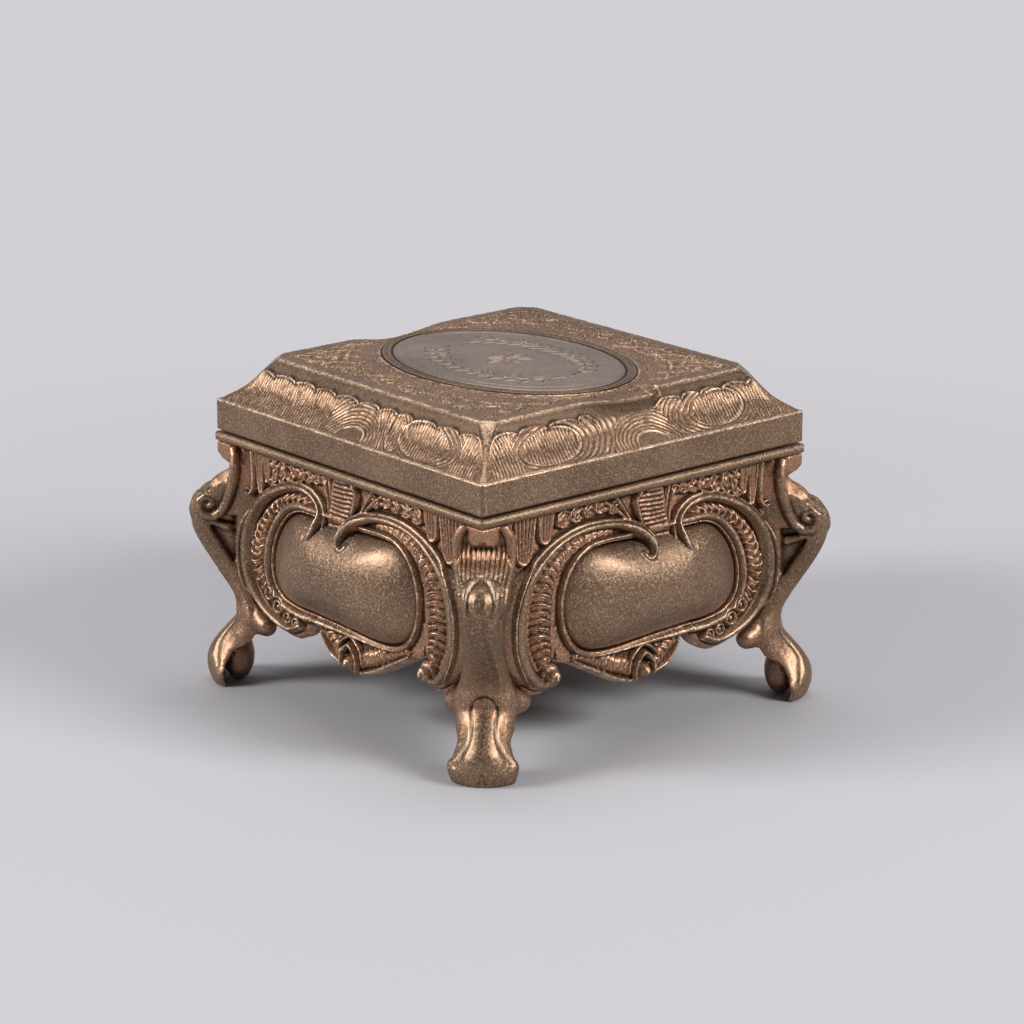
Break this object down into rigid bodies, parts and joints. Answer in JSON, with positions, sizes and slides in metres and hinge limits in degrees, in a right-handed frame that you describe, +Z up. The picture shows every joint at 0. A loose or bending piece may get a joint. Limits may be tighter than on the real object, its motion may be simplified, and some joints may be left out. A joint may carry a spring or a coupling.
{
  "type": "jewelry casket",
  "caption": "Small footed jewelry casket in cast metal with scrolled side panels, curled legs, a padded well and a hinged lid with an oval medallion.",
  "frame": {"origin": "on the ground plane under the centre of the casket", "axes": "+Z up, front towards -Y, the hinge at the back towards +Y"},
  "size_m": [0.0954, 0.0954, 0.0697],
  "materials": {
    "antique_bronze": "antiqued bronze, dark brown with rubbed copper and gold relief, fine cast grain",
    "medallion_bronze": "satin dark bronze, rubbed on the raised lines",
    "sheet_metal": "dull rolled sheet, patinated",
    "hinge_brass": "aged brass, satin",
    "screw_steel": "dull steel",
    "card": "grey-brown card",
    "velvet": "short pile velvet, deep red"
  },
  "bodies": {
    "casket_body": {"front_panel": "antique_bronze", "back_panel": "antique_bronze", "left_panel": "antique_bronze", "right_panel": "antique_bronze", "leg_front_left": "antique_bronze", "leg_front_right": "antique_bronze", "leg_back_left": "antique_bronze", "leg_back_right": "antique_bronze", "rim_frame": "antique_bronze", "floor_plate": "sheet_metal", "hinge_lower_leaf": "hinge_brass", "hinge_pin": "hinge_brass", "rim_screws": "screw_steel", "floor_screws": "screw_steel", "hinge_lower_screws": "screw_steel", "floor_board": "card", "floor_pad": "velvet", "lining_front": "velvet", "lining_back": "velvet", "lining_left": "velvet", "lining_right": "velvet"},
    "lid": {"lid_shell": "antique_bronze", "medallion_plate": "medallion_bronze", "medallion_bezel": "antique_bronze", "lid_board": "card", "lid_pad": "velvet", "hinge_upper_leaf": "hinge_brass", "hinge_upper_screws": "screw_steel"}
  },
  "joints": [
    {"name": "lid_hinge", "type": "hinge", "parent": "casket_body", "child": "lid", "pos_m": [0, 0.0442, 0.053], "axis": [-1, 0, 0], "range_deg": [0, 105]}
  ]
}
